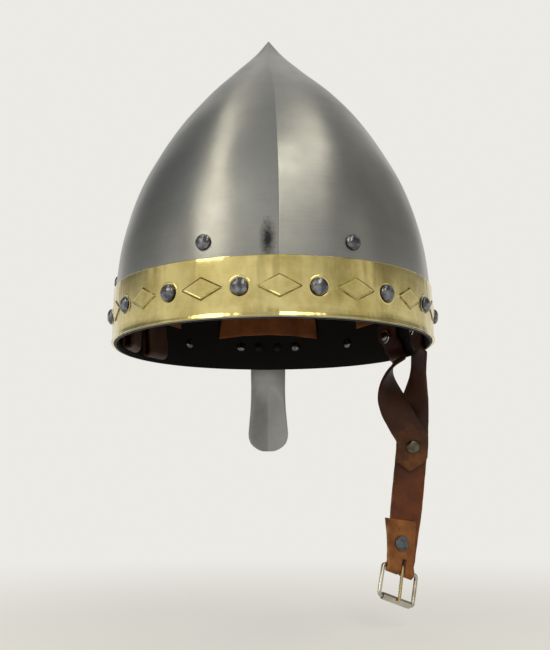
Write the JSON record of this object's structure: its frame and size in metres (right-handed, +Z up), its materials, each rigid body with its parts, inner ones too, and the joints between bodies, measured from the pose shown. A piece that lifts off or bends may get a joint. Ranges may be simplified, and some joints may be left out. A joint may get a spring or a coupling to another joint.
{
  "type": "nasal helmet",
  "caption": "Conical steel helmet with a medial ridge, riveted brass brow band with lozenges, nose guard, laced leather liner and two-part buckled chin strap.",
  "frame": {"origin": "middle of the plane of the skull's rim, where the ring that goes round the head lies", "axes": "+Z up along the skull's height, +Y to the front where the nose guard is, +X to the wearer's right"},
  "size_m": [0.2171, 0.2492, 0.3895],
  "materials": {
    "skull_steel": "brushed round the skull, satin",
    "brass": "polished, tarnished in the corners",
    "rivet_steel": "darkened, hammered domes",
    "nickel": "nickel plated, worn",
    "prong_brass": "worn",
    "strap_leather": "dyed, semi-gloss grain",
    "liner_leather": "undyed, matte"
  },
  "bodies": {
    "helmet": {"skull": "skull_steel", "brow_band": "brass", "nasal": "skull_steel", "band_rivet_01": "rivet_steel", "band_rivet_02": "rivet_steel", "band_rivet_03": "rivet_steel", "band_rivet_04": "rivet_steel", "band_rivet_05": "rivet_steel", "band_rivet_06": "rivet_steel", "band_rivet_07": "rivet_steel", "band_rivet_08": "rivet_steel", "band_rivet_09": "rivet_steel", "band_rivet_10": "rivet_steel", "band_rivet_11": "rivet_steel", "band_rivet_12": "rivet_steel", "band_rivet_13": "rivet_steel", "band_rivet_14": "rivet_steel", "band_rivet_15": "rivet_steel", "band_rivet_16": "rivet_steel", "strap_washer_05": "nickel", "strap_washer_06": "nickel", "strap_washer_11": "nickel", "strap_washer_12": "nickel", "nasal_rivet_1": "rivet_steel", "nasal_rivet_2": "rivet_steel", "nasal_rivet_3": "rivet_steel", "liner_tongue_back": "liner_leather", "liner_tongue_right": "liner_leather", "liner_tongue_front": "liner_leather", "liner_tongue_left": "liner_leather", "liner_lace": "strap_leather", "liner_rivet_1": "rivet_steel", "liner_rivet_2": "rivet_steel", "liner_rivet_3": "rivet_steel", "liner_rivet_4": "rivet_steel", "liner_rivet_5": "rivet_steel", "liner_rivet_6": "rivet_steel", "liner_rivet_7": "rivet_steel", "liner_rivet_8": "rivet_steel", "liner_washer_1": "nickel", "liner_washer_2": "nickel", "liner_washer_3": "nickel", "liner_washer_4": "nickel", "liner_washer_5": "nickel", "liner_washer_6": "nickel", "liner_washer_7": "nickel", "liner_washer_8": "nickel", "strap_anchor_rear": "strap_leather", "strap_anchor_front": "strap_leather", "tongue_strap": "strap_leather", "tongue_strap_arm": "strap_leather", "tuck_rivet": "nickel"},
    "strap": {"buckle_strap": "strap_leather", "buckle_strap_arm": "strap_leather", "junction_rivet": "nickel", "chape_rivet": "nickel"},
    "buckle": {"buckle_frame": "nickel"},
    "roller": {"buckle_roller": "nickel"},
    "prong": {"buckle_prong": "prong_brass"}
  },
  "joints": [
    {"name": "strap_swing", "type": "hinge", "parent": "helmet", "child": "strap", "pos_m": [0.09504, 0.02742, -0.002], "axis": [-0.2458, 0.9693, 0], "range_deg": [-25, 40]},
    {"name": "buckle_swing", "type": "hinge", "parent": "strap", "child": "buckle", "pos_m": [0.0865, 0.03557, -0.146], "axis": [0.8517, 0.3971, -0.342], "range_deg": [-20, 50]},
    {"name": "roller_spin", "type": "hinge", "parent": "buckle", "child": "roller", "pos_m": [0.08198, 0.02865, -0.1653], "axis": [0.8517, 0.3971, -0.342], "continuous": true},
    {"name": "prong_lift", "type": "hinge", "parent": "buckle", "child": "prong", "pos_m": [0.0865, 0.03557, -0.146], "axis": [-0.8517, -0.3971, 0.342], "range_deg": [0, 90]}
  ]
}
